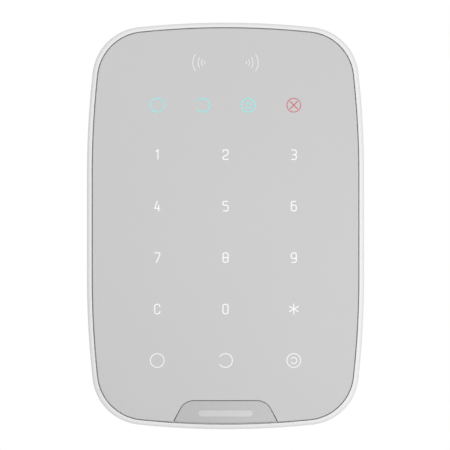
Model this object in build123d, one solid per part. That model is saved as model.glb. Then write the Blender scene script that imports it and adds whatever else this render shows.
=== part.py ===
from build123d import *
from math import atan2, cos, hypot, radians, sin, sqrt, tan
import os

# Wall-mounted wireless touch keypad with a tag reader.
# Millimetres. X to the right and Z up as a user sees it, Y towards the wall.
# The origin is the centre of the wall face: the wall is at y = 0 and the keys face -Y.

# ---- overall sizes ----
width = 112.5
height = 165.0              # the depth follows from the cells and the layers round them

# ---- outline: four tangent arcs to a quarter ----
shoulder_drop = 61.5        # from the top down to where the side starts to curve
shoulder_radius = 370.0
corner_radius = 21.0
crest_radius = 334.0

# ---- front housing ----
rim_width = 2.1             # rim seen beside the panel
face_corner_radius = 21.8   # outline the panel opening is drawn in from, at its corners
rim_drop = 0.2              # rim below the legends' face
rim_round = 1.9
back_round = 0.8
wall = 2.4
back_gap = 0.4              # housing's rear edge to the wall
ledge_width = 3.0
ledge_thick = 1.2

# ---- touch panel stack, front to back ----
ink_thick = 0.05
panel_gap = 0.42
panel_thick = 1.15
panel_round = 0.25
bond_thick = 0.2
bond_inset = 0.2
mask_gap = 0.2
mask_clear = 0.1            # mask to the pads
board_thick = 1.0
board_gap = 0.3
pad_thick = 0.05

# ---- key layout: rows hang from the top and spread down to the foot margin ----
wave_drop = 16.5            # wave marks below the top
status_drop = 17.2          # status row below the wave marks
digit_drop = 20.0           # first digit row below the status row
foot_margin = 28.1          # last key row above the bottom
wave_centre_x = 7.4
wave_radii = (1.1, 2.3, 3.7, 5.8)
wave_stroke = 0.36
wave_half_angle = 36.0
glyph_width = 2.5
glyph_height = 4.3
glyph_stroke = 0.46
glyph_bend = 0.8
star_length = 4.4
star_stroke = 0.42
ring_radius = 2.95
ring_stroke = 0.34
ring_gap_half_angle = 31.0
inner_ring_radius = 1.4
cross_length = 4.5
cross_stroke = 0.4
pad_radius = 6.5
pad_hole_radius = 2.4
tunnel_radius = 3.9
wave_tunnel_radius = 7.0
wave_tunnel_out = 1.4       # tunnel's place as a multiple of the arcs' centre
led_size = (1.6, 0.6, 0.8)

# ---- badge plate in the panel's lower edge ----
badge_top_rise = 11.7       # above the bottom of the outline
badge_half_top = 16.4
badge_slope = 62.0
badge_corner = 6.0
badge_gap = 0.34
badge_tail = 4.0            # how far the trapezium runs on before the outline trims it
badge_drop = 0.1            # badge face below the panel face
relief_length = 22.0
relief_width = 2.6
relief_rise = 0.14
relief_lift = 0.9           # above the badge's middle
overrun = 1.0               # how far a cutter passes the face it opens

# ---- cells and their holder ----
cell_diameter = 17.0
cell_length = 34.5
cell_nub = 1.0
cell_nub_radius = 3.2
cell_edge = 0.6
cell_front_clear = 0.1
cell_back_clear = 0.1
cell_clear = 0.2
bay_spring_room = 3.0
bay_plate_room = 0.5
holder_wall = 1.6
holder_drop = 12.6          # holder's top below the main board
lead_room = 3.5             # half the spine between the columns, where the leads run
slot_clear = 0.7            # board and mask cut-outs beside the cells
cradle_thick = 1.6
strip_thick = 0.3
strip_width = 6.0
contact_half = 5.0
lead_radius = 0.6
lead_spread = 1.6
lead_start = 14.0           # lead's lower end below the holder's top
lead_rise = 3.0             # straight above the holder before it leans forward
lead_tail = 4.0             # straight below the socket
lead_bend = 2.0
socket_size = (8.0, 4.5, 5.0)
socket_entry = 3.2          # lead's height off the main board

# ---- rear cover and battery cover ----
cover_face_back = 2.8       # rear cover's outer face in front of the wall
cover_thick = 1.5
cover_gap = 0.2
hatch_skin = 0.9
hatch_back = 0.5            # battery cover's outer face in front of the wall
hatch_flange = 0.8
hatch_lip = 2.9             # flange beyond the bulge at the sides
hatch_end = 7.5             # flange beyond the bulge at the ends
hatch_gap = 0.2
hatch_corner = 4.0
hatch_round = 1.2
bulge_corner = 3.0
hatch_boss_radius = 2.6
hatch_boss_depth = 5.0
hatch_head_height = 1.2
hatch_screw_length = 4.2
label_size = (44.0, 9.0, 0.1)
label_drop = 8.5            # label's middle below the battery cover's flange

# ---- wall bracket ----
plate_thick = 2.5
plate_inset = 5.6
plate_top_gap = 4.2         # plate top below the housing's inner wall
plate_low_room = 6.1        # below the plate once the keypad has slid up
plate_corner = 17.0
plate_shoulder = 240.0
plate_crest = 300.0
slide_travel = 6.5
opening_side_gap = 2.0
opening_end_gap = 1.5
opening_corner = 6.0
screw_spacing_x = 76.0
screw_spacing_z = 110.0
screw_pattern_z = 4.0
wall_screw_radius = 2.2
wall_head_radius = 4.2
wall_head_depth = 1.2
hook_x = 38.0
hook_rows = (34.0, -26.0)
hook_width = 6.0
hook_stem = 3.0
hook_lip = 4.0
hook_thick = 1.1
hook_gap = 0.2
slot_side_gap = 0.5
slot_end_gap = 0.5
rim_band = 2.2              # solid band round the plate, its window and its pad
core_depth = 0.9            # moulded-in pockets on the wall side
core_rib = 1.3
core_pitch = 15.0
screw_boss = 3.2            # round each wall screw, beyond the hole

# ---- tamper pad, lock flange ----
tamper_rise = 1.5           # above the main board's middle
tamper_pad_width = 28.0
tamper_pad_height = 13.0
tamper_cut = 0.9
tamper_corner = 3.0
tamper_bridge = 1.2
tamper_hole_x = 7.5
tongue_width = 15.0
flange_thick = 1.6
flange_inset = 2.5          # flange face above the outline's bottom
flange_reach = 12.5
flange_hole_gap = 0.3
tongue_root = 4.0           # how far the tongue runs up into the plate
notch_gap = 0.6
notch_rise = 2.0            # notch above the inside of the bottom wall
lock_axis_back = 7.6
lock_radius = 1.5
lock_head_radius = 2.8
lock_head_height = 1.9
lock_length = 10.0
lock_end_room = 2.0
lock_boss_floor = 1.0
lock_head_round = 0.6
lock_recess = (1.6, 0.3)    # half length and half width
lock_recess_depth = 1.0
boss_wall = 2.2
boss_gap = 0.4
running_gap = 0.05

# ---- reader coil and touch controller on the back of the touch board ----
coil_turns = 3
coil_width = 64.0
coil_height = 24.0
coil_corner = 4.0
coil_track = 0.8
coil_drop = 2.0             # coil's middle below the wave marks
ferrite_edge = 1.7
ferrite_thick = 0.3
chip_size = 7.0
chip_thick = 0.9
controller_out = 9.4        # beside the battery holder
controller_z = 6.5
small_part = (1.6, 0.7, 0.9)    # X, Y and Z of a small chip part
small_pitch = 3.2

# ---- main board and what is on it ----
main_width = 72.0
main_height = 26.0
main_drop = 20.5            # board's middle below the top
main_corner = 2.0
main_screw_edge_x = 4.0
main_screw_edge_z = 3.0
main_boss_radius = 2.4
main_front_back = 9.6       # board's front face in front of the wall
radio_size = (16.0, 2.4, 18.0)
radio_x = -21.0
radio_edge = 0.5
antenna_edge = 9.0
antenna_rise = 4.0
antenna_width = 2.0
antenna_length = 15.0
controller_size = (8.0, 1.0, 8.0)
controller_place = (10.0, 1.0)
small_columns = (-1.6, 2.4)
crystal_size = (3.0, 1.6, 5.0)
crystal_place = (-8.0, 5.5)
buzzer_x = 24.0
buzzer_radius = 6.0
buzzer_height = 4.6
buzzer_port = 1.0
buzzer_port_depth = 0.8
ribbon_x = 12.5
ribbon_width = 9.0
ribbon_thick = 0.2
ribbon_bend = 1.0
ribbon_lead = 1.0
ribbon_foot = 5.2           # cable's lower end above the holder
ribbon_head = 7.5           # cable's upper end above the main board's lower edge
plug_size = (10.0, 1.6)     # X and Y of a cable connector
plug_low = 3.0
plug_high = 1.6
button_x = 20.0
button_drop = 6.0           # below the main board's middle
tamper_x = -6.0
stem_radius = 2.5
stem_gap = 0.15
collar_radius = 3.9
collar_thick = 0.8
collar_gap = 0.2
tamper_touch = 0.05
power_recess = 0.3
switch_height = 2.4
switch_size = 3.8
spring_wire = 0.4
spring_radius = 3.1
spring_turns = 3

# ---- fasteners ----
post_radius = 3.0
post_bite = 0.4             # how far a post sinks into the side wall
post_top_margin = 13.5
post_foot_margin = 15.0
pilot_floor = 2.0           # solid foot of a post under its screw hole
cover_screw_radius = 1.1
cover_head_radius = 2.2
cover_head_height = 0.85
head_gap = 0.2              # round a screw's head and shank
head_sink = 0.05            # head below the cover's face
cover_screw_length = 7.5
cross_recess = (1.3, 0.2)   # half length and half width of a cross recess
small_screw_radius = 0.95
small_head_radius = 1.9
small_head_height = 1.2
small_screw_length = 4.0
stake_radius = 0.9
stake_head_radius = 1.6
stake_head_height = 0.6
stake_gap = 0.1
stake_margin = 36.0
stake_mid_drop = 60.0

# ---- planes and places worked out from the sizes ----
cell_radius = cell_diameter / 2
cell_axis = -(hatch_back + hatch_skin + cell_back_clear + cell_radius)
ledge_front = cell_axis - cell_radius - cell_front_clear
panel_back = ledge_front - bond_thick
panel_front = panel_back - panel_thick
ink_front = panel_front - ink_thick
ledge_back = ledge_front + ledge_thick
board_front = ledge_back
board_back = board_front + board_thick
mask_back = board_front - pad_thick - mask_clear
rim_front = ink_front + rim_drop
cover_back = -cover_face_back
cover_front = cover_back - cover_thick
cover_seat = cover_back - cover_head_height - head_sink
plate_front = -plate_thick
bay_length = cell_length + bay_spring_room + bay_plate_room
holder_length = 2 * bay_length + 3 * holder_wall
main_z = height / 2 - main_drop
socket_low = main_z - main_height / 2 + 1
tamper_z = main_z + tamper_rise
button_z = main_z - button_drop
holder_top = main_z - main_height / 2 - holder_drop
holder_bottom = holder_top - holder_length
holder_centre_z = (holder_top + holder_bottom) / 2
bay_half = cell_radius + cell_clear
cell_column_x = bay_half + holder_wall + lead_room
slot_half = sqrt(cell_radius**2 - (cell_axis - board_back) ** 2) + slot_clear
key_pitch_x = 2 * cell_column_x     # the keys stand clear of the cells' cut-outs
status_pitch = key_pitch_x * 2 / 3
wave_z = height / 2 - wave_drop
status_z = wave_z - status_drop
digit_top_z = status_z - digit_drop
key_pitch_z = (digit_top_z + height / 2 - foot_margin) / 4
holder_half = cell_column_x + bay_half + holder_wall
holder_front = board_back + cell_clear
holder_back = cover_front - cell_clear
hatch_half = holder_half
controller_x = holder_half + controller_out
flange_half = hatch_half + hatch_lip
flange_half_z = holder_length / 2 + hatch_end
main_front = -main_front_back
main_back = main_front + board_thick
bottom = -height / 2
flange_low = bottom + flange_inset
post_inset = wall + post_radius - post_bite


def outline_points(half_w, half_h, shoulder, corner, crest, drop, inset):
    """Ends and middles of a quarter's arcs, from the side up to the crest."""
    start = half_h - drop
    side_centre = (half_w - shoulder, start)
    crest_centre = (0.0, half_h - crest)
    reach_side = shoulder - corner
    reach_crest = crest - corner
    gap_x = crest_centre[0] - side_centre[0]
    gap_z = crest_centre[1] - side_centre[1]
    gap = hypot(gap_x, gap_z)
    along = (reach_side**2 - reach_crest**2 + gap**2) / (2 * gap)
    across = sqrt(reach_side**2 - along**2)
    corner_x = side_centre[0] + (along * gap_x - across * gap_z) / gap
    corner_z = side_centre[1] + (along * gap_z + across * gap_x) / gap
    turn_side = atan2(corner_z - side_centre[1], corner_x - side_centre[0])
    turn_crest = atan2(corner_z - crest_centre[1], corner_x - crest_centre[0])

    def at(centre, radius, angle):
        return (centre[0] + (radius - inset) * cos(angle), centre[1] + (radius - inset) * sin(angle))

    corner_centre = (corner_x, corner_z)
    return [
        (half_w - inset, start),
        at(side_centre, shoulder, turn_side / 2),
        at(side_centre, shoulder, turn_side),
        at(corner_centre, corner, (turn_side + turn_crest) / 2),
        at(crest_centre, crest, turn_crest),
        (0.0, half_h - inset),
    ]


def soft_outline(half_w, half_h, shoulder, corner, crest, drop, inset=0.0):
    """Closed face with straight sides, soft shoulders and a low crest at top and bottom."""
    low, shoulder_mid, shoulder_end, corner_mid, crest_end, top = outline_points(
        half_w, half_h, shoulder, corner, crest, drop, inset
    )

    def flip(point, x_sign, z_sign):
        return (point[0] * x_sign, point[1] * z_sign)

    edges = []
    for z_sign in (1, -1):
        for x_sign in (1, -1):
            start, mid, end = (flip(p, x_sign, z_sign) for p in (low, shoulder_mid, shoulder_end))
            edges.append(ThreePointArc(start, mid, end))
            mid, last = (flip(p, x_sign, z_sign) for p in (corner_mid, crest_end))
            edges.append(ThreePointArc(end, mid, last))
        left, right = flip(crest_end, -1, z_sign), flip(crest_end, 1, z_sign)
        edges.append(ThreePointArc(left, flip(top, 1, z_sign), right))
    for x_sign in (1, -1):
        edges.append(Line(flip(low, x_sign, 1), flip(low, x_sign, -1)))
    return make_face(Curve() + edges)


def case_outline(inset=0.0):
    return soft_outline(
        width / 2, height / 2, shoulder_radius, corner_radius, crest_radius, shoulder_drop, inset
    )


def face_outline(inset):
    """The outline with slightly rounder corners, for the panel and the opening it sits in."""
    return soft_outline(
        width / 2, height / 2, shoulder_radius, face_corner_radius, crest_radius, shoulder_drop, inset
    )


def slab(sketch, front, back):
    """A sketch drawn in X and Z, solid from y = front to y = back."""
    return extrude(Plane.XZ.offset(-back) * sketch, back - front)


def block(x_range, y_range, z_range):
    size = [b - a for a, b in (x_range, y_range, z_range)]
    centre = [(a + b) / 2 for a, b in (x_range, y_range, z_range)]
    return Pos(*centre) * Box(*size)


def disc(x, z, radius, front, back):
    return slab(Pos(x, z) * Circle(radius), front, back)


def rod(x, y, radius, low, high):
    return Pos(x, y, (low + high) / 2) * Cylinder(radius, high - low)


def rounded(half_x, low, high, radius):
    return Pos(0, (low + high) / 2) * RectangleRounded(2 * half_x, high - low, radius)


def front_edges(solid):
    return solid.faces().sort_by(Axis.Y)[0].outer_wire().edges()


def back_edges(solid):
    return solid.faces().sort_by(Axis.Y)[-1].outer_wire().edges()


def edge_place(z, inset):
    """X of the case outline at a height, brought in by an inset."""
    band = block((0, width), (-1, 1), (z - 0.05, z + 0.05))
    return (slab(case_outline(inset), -1, 1) & band).bounding_box().max.X


# ---- shared places ----
key_rows = [digit_top_z - row * key_pitch_z for row in range(5)]
key_columns = [-key_pitch_x, 0.0, key_pitch_x]
status_places = [(status_pitch * (i - 1.5), status_z) for i in range(4)]
wave_places = [(-wave_centre_x, wave_z), (wave_centre_x, wave_z)]
post_heights = [height / 2 - post_top_margin, 0.0, post_foot_margin - height / 2]
post_places = [
    (side * edge_place(z, post_inset), z) for z in post_heights for side in (-1, 1)
]
stake_heights = [height / 2 - stake_margin, height / 2 - stake_mid_drop, stake_margin - height / 2]
stake_places = [
    (side * edge_place(z, wall + ledge_width / 2), z) for z in stake_heights for side in (-1, 1)
]
main_screw_places = [
    (sx * (main_width / 2 - main_screw_edge_x), main_z + sz * (main_height / 2 - main_screw_edge_z))
    for sx in (-1, 1)
    for sz in (-1, 1)
]
hatch_screw_places = [
    (0.0, holder_centre_z + side * (holder_length / 2 + hatch_end / 2)) for side in (-1, 1)
]
hook_places = [(side * hook_x, z) for side in (-1, 1) for z in hook_rows]
wall_screw_places = [
    (sx * screw_spacing_x / 2, screw_pattern_z + sz * screw_spacing_z / 2) for sx in (-1, 1) for sz in (-1, 1)
]
cell_places = [
    (side * cell_column_x, holder_centre_z + end * (bay_length + holder_wall) / 2)
    for side in (-1, 1)
    for end in (-1, 1)
]


# ---- glyphs ----
def stroke(points, radius=0.0):
    path = FilletPolyline(*points, radius=radius) if radius else Polyline(*points)
    return trace(path, glyph_stroke)


def ring(radius, stroke_width):
    return Circle(radius) - Circle(radius - stroke_width)


def wedge(reach, half_angle, towards):
    far = 2 * reach
    lift = far * tan(radians(half_angle))
    return Rot(0, 0, towards) * make_face(Polyline((0, 0), (far, -lift), (far, lift), close=True))


def star(length, thick, bars):
    """Bars crossing at the middle, one of them upright when their number is odd."""
    offset = (bars + 1) % 2 / 2
    turned = [Rot(0, 0, 90 + 180 * (i + offset) / bars) * Rectangle(length, thick) for i in range(bars)]
    return sum(turned[1:], turned[0])


def open_ring(radius, stroke_width):
    return ring(radius, stroke_width) - wedge(radius, ring_gap_half_angle, 180)


def digit(name):
    """One legend in a squared, evenly stroked hand, centred on its key."""
    w = (glyph_width - glyph_stroke) / 2
    h = (glyph_height - glyph_stroke) / 2
    bend = glyph_bend
    loop_height = 1.22 * h
    full = RectangleRounded(glyph_width, glyph_height, bend + glyph_stroke / 2)
    hollow = RectangleRounded(glyph_width - 2 * glyph_stroke, glyph_height - 2 * glyph_stroke,
                              bend - glyph_stroke / 2)
    bar = Rectangle(2 * w, glyph_stroke)
    loop = RectangleRounded(glyph_width, loop_height + glyph_stroke, bend + glyph_stroke / 2)
    loop -= RectangleRounded(glyph_width - 2 * glyph_stroke, loop_height - glyph_stroke,
                             bend - glyph_stroke / 2)
    six = stroke([(w - 0.15, h), (-w, h), (-w, loop_height / 2 - h)], bend)
    six += Pos(0, loop_height / 2 - h) * loop
    shapes = {
        "0": lambda: full - hollow,
        "1": lambda: stroke([(-0.6, 0.62 * h), (0.3, h), (0.3, -h)]),
        "2": lambda: stroke([(-w, 0.45 * h), (-w, h), (w, h), (w, 0.12 * h), (-w, -0.5 * h),
                             (-w, -h), (w + 0.2, -h)], 0.5),
        "3": lambda: stroke([(-w, h), (w, h), (w, 0), (-0.5, 0)], bend)
        + stroke([(-0.5, 0), (w, 0), (w, -h), (-w, -h)], bend),
        "4": lambda: stroke([(0.1, h + 0.2), (-w, -0.45 * h), (w + 0.25, -0.45 * h)])
        + stroke([(0.55, 0.3 * h), (0.55, -h - 0.2)]),
        "5": lambda: stroke([(w, h), (-w, h), (-w, 0.18 * h), (w, 0.18 * h), (w, -h), (-w, -h)], 0.55),
        "6": lambda: six,
        "7": lambda: stroke([(-w - 0.2, h), (w, h), (w, 0.6 * h), (-0.4, -h - 0.2)], 0.3),
        "8": lambda: full - hollow + bar,
        "9": lambda: Rot(0, 0, 180) * six,
        "C": lambda: stroke([(w, 0.45 * h), (w, h), (-w, h), (-w, -h), (w, -h), (w, -0.45 * h)], bend),
        "*": lambda: star(star_length, star_stroke, 3),
    }
    return shapes[name]()


def inked(sketch, x, z):
    return slab(Pos(x, z) * sketch, ink_front, panel_front)


def key_legends():
    rows = ["123", "456", "789", "C0*"]
    inks = []
    for row, names in zip(key_rows, rows):
        inks += [inked(digit(name), x, row) for name, x in zip(names, key_columns)]
    arm, disarm, night = key_columns
    low = key_rows[4]
    inks.append(inked(ring(ring_radius, ring_stroke), arm, low))
    inks.append(inked(open_ring(ring_radius, ring_stroke), disarm, low))
    inks.append(inked(ring(ring_radius, ring_stroke), night, low))
    inks.append(inked(open_ring(inner_ring_radius, ring_stroke), night, low))
    return inks


def status_legends():
    shapes = [
        [ring(ring_radius, ring_stroke)],
        [open_ring(ring_radius, ring_stroke)],
        [ring(ring_radius, ring_stroke), open_ring(inner_ring_radius, ring_stroke)],
    ]
    return [inked(s, x, z) for (x, z), group in zip(status_places, shapes) for s in group]


def fault_legend():
    x, z = status_places[3]
    return [inked(ring(ring_radius, ring_stroke), x, z), inked(star(cross_length, cross_stroke, 2), x, z)]


def reader_legends():
    inks = []
    for (x, z), towards in zip(wave_places, (180, 0)):
        for radius in wave_radii:
            arc = ring(radius + wave_stroke / 2, wave_stroke) & wedge(radius, wave_half_angle, towards)
            inks.append(inked(arc, x, z))
    return inks


# ---- housing and panel ----
def badge_sketch(grow=0.0):
    """Low trapezium with two round corners, running out past the outline's foot."""
    top = bottom + badge_top_rise + grow
    half = badge_half_top + grow / sin(radians(badge_slope)) - grow / tan(radians(badge_slope))
    run = (badge_top_rise + badge_tail) / tan(radians(badge_slope))
    low = top - badge_top_rise - badge_tail
    shape = make_face(Polyline((-half, top), (half, top), (half + run, low), (-half - run, low), close=True))
    return fillet(shape.vertices().group_by(Axis.Y)[-1], badge_corner + grow)


def front_housing():
    """Rim, side wall, the ledge that carries the panel and board, six posts."""
    body = slab(case_outline(), rim_front, -back_gap)
    body = fillet(front_edges(body), rim_round)
    body = fillet(back_edges(body), back_round)
    body -= slab(face_outline(rim_width), rim_front - overrun, ledge_front)
    body -= slab(case_outline(wall + ledge_width), ledge_front - overrun, ledge_back + overrun)
    body -= slab(case_outline(wall), ledge_back, overrun)
    for x, z in post_places:
        post = disc(x, z, post_radius, ledge_back, cover_front)
        body += post & slab(case_outline(wall - post_bite / 2), ledge_back, cover_front)
        body -= disc(x, z, cover_screw_radius, ledge_back + pilot_floor, cover_front)
    for x, z in stake_places:
        body += disc(x, z, stake_radius, ledge_back, board_back)
        body += disc(x, z, stake_head_radius, board_back, board_back + stake_head_height)
    half = tongue_width / 2 + notch_gap
    notch_top = bottom + wall + notch_rise
    return body - block((-half, half), (-flange_reach - notch_gap, overrun), (bottom - overrun, notch_top))


def touch_panel():
    body = slab(face_outline(rim_width + panel_gap), panel_front, panel_back)
    body = fillet(front_edges(body), panel_round)
    return body - slab(badge_sketch(badge_gap), panel_front - overrun, panel_back + overrun)


def badge_plate():
    face = panel_front + badge_drop
    body = slab(badge_sketch() & face_outline(rim_width + panel_gap + badge_gap), face, panel_back)
    relief = SlotOverall(relief_length, relief_width)
    return body + slab(Pos(0, bottom + badge_top_rise / 2 + relief_lift) * relief, face - relief_rise, face)


def panel_adhesive():
    outer = face_outline(rim_width + panel_gap + bond_inset)
    return slab(outer - case_outline(wall + ledge_width - bond_inset), panel_back, ledge_front)


def cell_slots(front, back):
    cut = [
        block((x - slot_half, x + slot_half), (front, back), (holder_bottom, holder_top))
        for x in (-cell_column_x, cell_column_x)
    ]
    return cut[0] + cut[1]


def diffuser_sheet():
    return slab(case_outline(wall + ledge_width + mask_gap), panel_back, ledge_front)


def light_mask():
    body = slab(case_outline(wall + ledge_width + mask_gap), ledge_front, mask_back)
    body -= cell_slots(ledge_front - overrun, mask_back + overrun)
    places = [(x, z, tunnel_radius) for z in key_rows for x in key_columns]
    places += [(x, z, tunnel_radius) for x, z in status_places]
    places += [(x * wave_tunnel_out, z, wave_tunnel_radius) for x, z in wave_places]
    for x, z, radius in places:
        body -= disc(x, z, radius, ledge_front - overrun, mask_back + overrun)
    return body


# ---- touch board ----
def touch_board():
    body = slab(case_outline(wall + board_gap), board_front, board_back)
    body -= cell_slots(board_front - overrun, board_back + overrun)
    for x, z in post_places:
        body -= disc(x, z, post_radius + board_gap, board_front - overrun, board_back + overrun)
    for x, z in stake_places:
        body -= disc(x, z, stake_radius + stake_gap, board_front - overrun, board_back + overrun)
    half = tongue_width / 2 + notch_gap + board_gap
    top = bottom + wall + notch_rise + board_gap
    return body - block((-half, half), (board_front - overrun, board_back + overrun), (bottom, top))


def touch_pads():
    pad = Circle(pad_radius) - Circle(pad_hole_radius)
    places = [(x, z) for z in key_rows for x in key_columns]
    return [slab(Pos(x, z) * pad, board_front - pad_thick, board_front) for x, z in places]


def leds(places):
    sx, sy, sz = led_size
    return [Pos(x, board_front - sy / 2, z) * Box(sx, sy, sz) for x, z in places]


def reader_coil():
    """Three closed turns of the tag reader's loop on the back of the touch board."""
    turns = []
    for i in range(coil_turns):
        across, high = coil_width - 4 * coil_track * i, coil_height - 4 * coil_track * i
        turn = RectangleRounded(across, high, coil_corner)
        turn -= RectangleRounded(across - 2 * coil_track, high - 2 * coil_track, coil_corner - coil_track)
        turns.append(slab(Pos(0, wave_z - coil_drop) * turn, board_back, board_back + pad_thick))
    return turns


def ferrite_sheet():
    start = board_back + pad_thick
    sheet = RectangleRounded(coil_width + 2 * ferrite_edge, coil_height + 2 * ferrite_edge, coil_corner)
    return slab(Pos(0, wave_z - coil_drop) * sheet, start, start + ferrite_thick)


def touch_controller():
    half = chip_size / 2
    across = (controller_x - half, controller_x + half)
    return block(across, (board_back, board_back + chip_thick), (controller_z - half, controller_z + half))


def touch_components():
    """Two columns of small parts beside the touch controller."""
    sx, sy, sz = small_part
    return [
        Pos(controller_x + side * chip_size * 0.8, board_back + sy / 2, controller_z + row * small_pitch)
        * Box(sx, sy, sz)
        for row in (-1.5, -0.5, 0.5, 1.5)
        for side in (-1, 1)
    ]


# ---- cells ----
def battery_holder():
    """Four open bays with cradle ribs and a hollow spine for the leads."""
    body = block((-holder_half, holder_half), (holder_front, holder_back), (holder_bottom, holder_top))
    for x, z in cell_places:
        bay = (z - bay_length / 2, z + bay_length / 2)
        body -= block((x - bay_half, x + bay_half), (holder_front - overrun, holder_back + overrun), bay)
        for rib_z in (z - bay_length / 4, z + bay_length / 4):
            low, high = rib_z - cradle_thick / 2, rib_z + cradle_thick / 2
            rib = block((x - bay_half, x + bay_half), (holder_front, cell_axis), (low, high))
            body += rib - rod(x, cell_axis, cell_radius + cell_clear, low, high)
    low, high = holder_bottom + holder_wall, holder_top + 1
    channel = (holder_front - overrun, holder_back - holder_wall)
    return body - block((-lead_room, lead_room), channel, (low, high))


def battery_cell(x, z):
    """Plus end up in the left column, down in the right one."""
    up = -1 if x > 0 else 1
    base = z - up * (bay_length / 2 - bay_spring_room)
    can_end = base + up * (cell_length - cell_nub)
    tip = can_end + up * cell_nub
    can = rod(x, cell_axis, cell_radius, min(base, can_end), max(base, can_end))
    can = fillet(can.edges().filter_by(GeomType.CIRCLE), cell_edge)
    return can + rod(x, cell_axis, cell_nub_radius, min(can_end, tip), max(can_end, tip))


def battery_springs():
    """Bowed leaf at the minus end of each bay."""
    leaves = []
    for x, z in cell_places:
        up = -1 if x > 0 else 1
        foot = z - up * bay_length / 2
        rise = bay_spring_room - strip_thick
        half = contact_half
        outer = ThreePointArc((-half, 0), (0, rise), (half, 0))
        inner = ThreePointArc((half, strip_thick), (0, rise + strip_thick), (-half, strip_thick))
        ends = [Line((half, 0), (half, strip_thick)), Line((-half, strip_thick), (-half, 0))]
        leaf = make_face(Curve() + [outer, inner] + ends)
        turned = Pos(x, foot) * (leaf if up > 0 else Rot(0, 0, 180) * leaf)
        leaves.append(slab(turned, cell_axis - strip_width / 2, cell_axis + strip_width / 2))
    return leaves


def battery_plates():
    """Flat contact at the plus end of each bay."""
    plates = []
    for x, z in cell_places:
        up = -1 if x > 0 else 1
        end = z + up * bay_length / 2
        near = end - up * bay_plate_room
        reach = (min(end, near), max(end, near))
        half = contact_half
        plates.append(block((x - half, x + half), (cell_axis - half, cell_axis + half), reach))
    return plates


def battery_lead(side):
    """Lead from the spine up to the socket on the main board."""
    x = side * lead_spread
    entry = main_front - socket_entry
    path = FilletPolyline(
        (x, cell_axis, holder_top - lead_start), (x, cell_axis, holder_top + lead_rise),
        (x, entry, socket_low - lead_tail), (x, entry, socket_low), radius=lead_bend,
    )
    return sweep(Plane(path @ 0, z_dir=path % 0) * Circle(lead_radius), path)


def battery_socket():
    sx, sy, sz = socket_size
    return Pos(0, main_front - sy / 2, socket_low + sz / 2) * Box(sx, sy, sz)


# ---- main board ----
def main_board():
    plan = Pos(0, main_z) * RectangleRounded(main_width, main_height, main_corner)
    body = slab(plan, main_front, main_back)
    for x, z in main_screw_places:
        body -= disc(x, z, small_screw_radius + stake_gap, main_front - overrun, main_back + overrun)
    return body


def on_board(x, z, size):
    """A block on the main board's front face; z is counted from the board's middle."""
    sx, sy, sz = size
    return Pos(x, main_front - sy / 2, main_z + z) * Box(sx, sy, sz)


def radio_module():
    can = on_board(radio_x, 0, radio_size)
    return fillet(can.faces().sort_by(Axis.Y)[0].edges(), radio_edge)


def radio_antennas():
    """Two folded strips standing on the board's front face."""
    strips = []
    for side in (-1, 1):
        x = side * (main_width / 2 - antenna_edge)
        top = main_z + main_height / 2 - main_corner
        crown = main_front - antenna_rise
        half = antenna_width / 2
        reach = sorted((x + side * half, x - side * antenna_length))
        foot = block((x - half, x + half), (crown, main_front), (top - strip_thick, top))
        strips.append(foot + block(reach, (crown - strip_thick, crown), (top - antenna_width, top)))
    return strips


def controller_chip():
    return on_board(*controller_place, controller_size)


def board_components():
    """Rows of small chip parts round the controller."""
    parts = [on_board(x, row * small_pitch, small_part) for row in range(-1, 4) for x in small_columns]
    return parts + [on_board(*crystal_place, crystal_size)]


def buzzer():
    x, z = buzzer_x, main_z
    top = main_front - buzzer_height
    can = disc(x, z, buzzer_radius, top, main_front)
    return can - disc(x, z, buzzer_port, top - overrun, top + buzzer_port_depth)


def ribbon_points():
    low = (board_back + plug_size[1] / 2, holder_top + ribbon_foot)
    high = (main_front - plug_size[1] / 2, main_z - main_height / 2 + ribbon_head)
    mid = (low[1] + high[1]) / 2
    return [low, (low[0], mid - ribbon_lead), (high[0], mid + ribbon_lead), high]


def ribbon_cable():
    """Flat cable from the touch board back to the main board, drawn in Y and Z."""
    path = FilletPolyline(*ribbon_points(), radius=ribbon_bend)
    return extrude(Plane.YZ.offset(ribbon_x - ribbon_width / 2) * trace(path, ribbon_thick), ribbon_width)


def ribbon_connectors():
    start, *_, end = ribbon_points()
    sx, sy = plug_size
    across = (ribbon_x - sx / 2, ribbon_x + sx / 2)
    low = block(across, (board_back, board_back + sy), (start[1] - plug_low, start[1]))
    high = block(across, (main_front - sy, main_front), (end[1], end[1] + plug_high))
    return [low, high]


def switch_body(x, z):
    half = switch_size / 2
    return block((x - half, x + half), (main_back, main_back + switch_height), (z - half, z + half))


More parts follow.
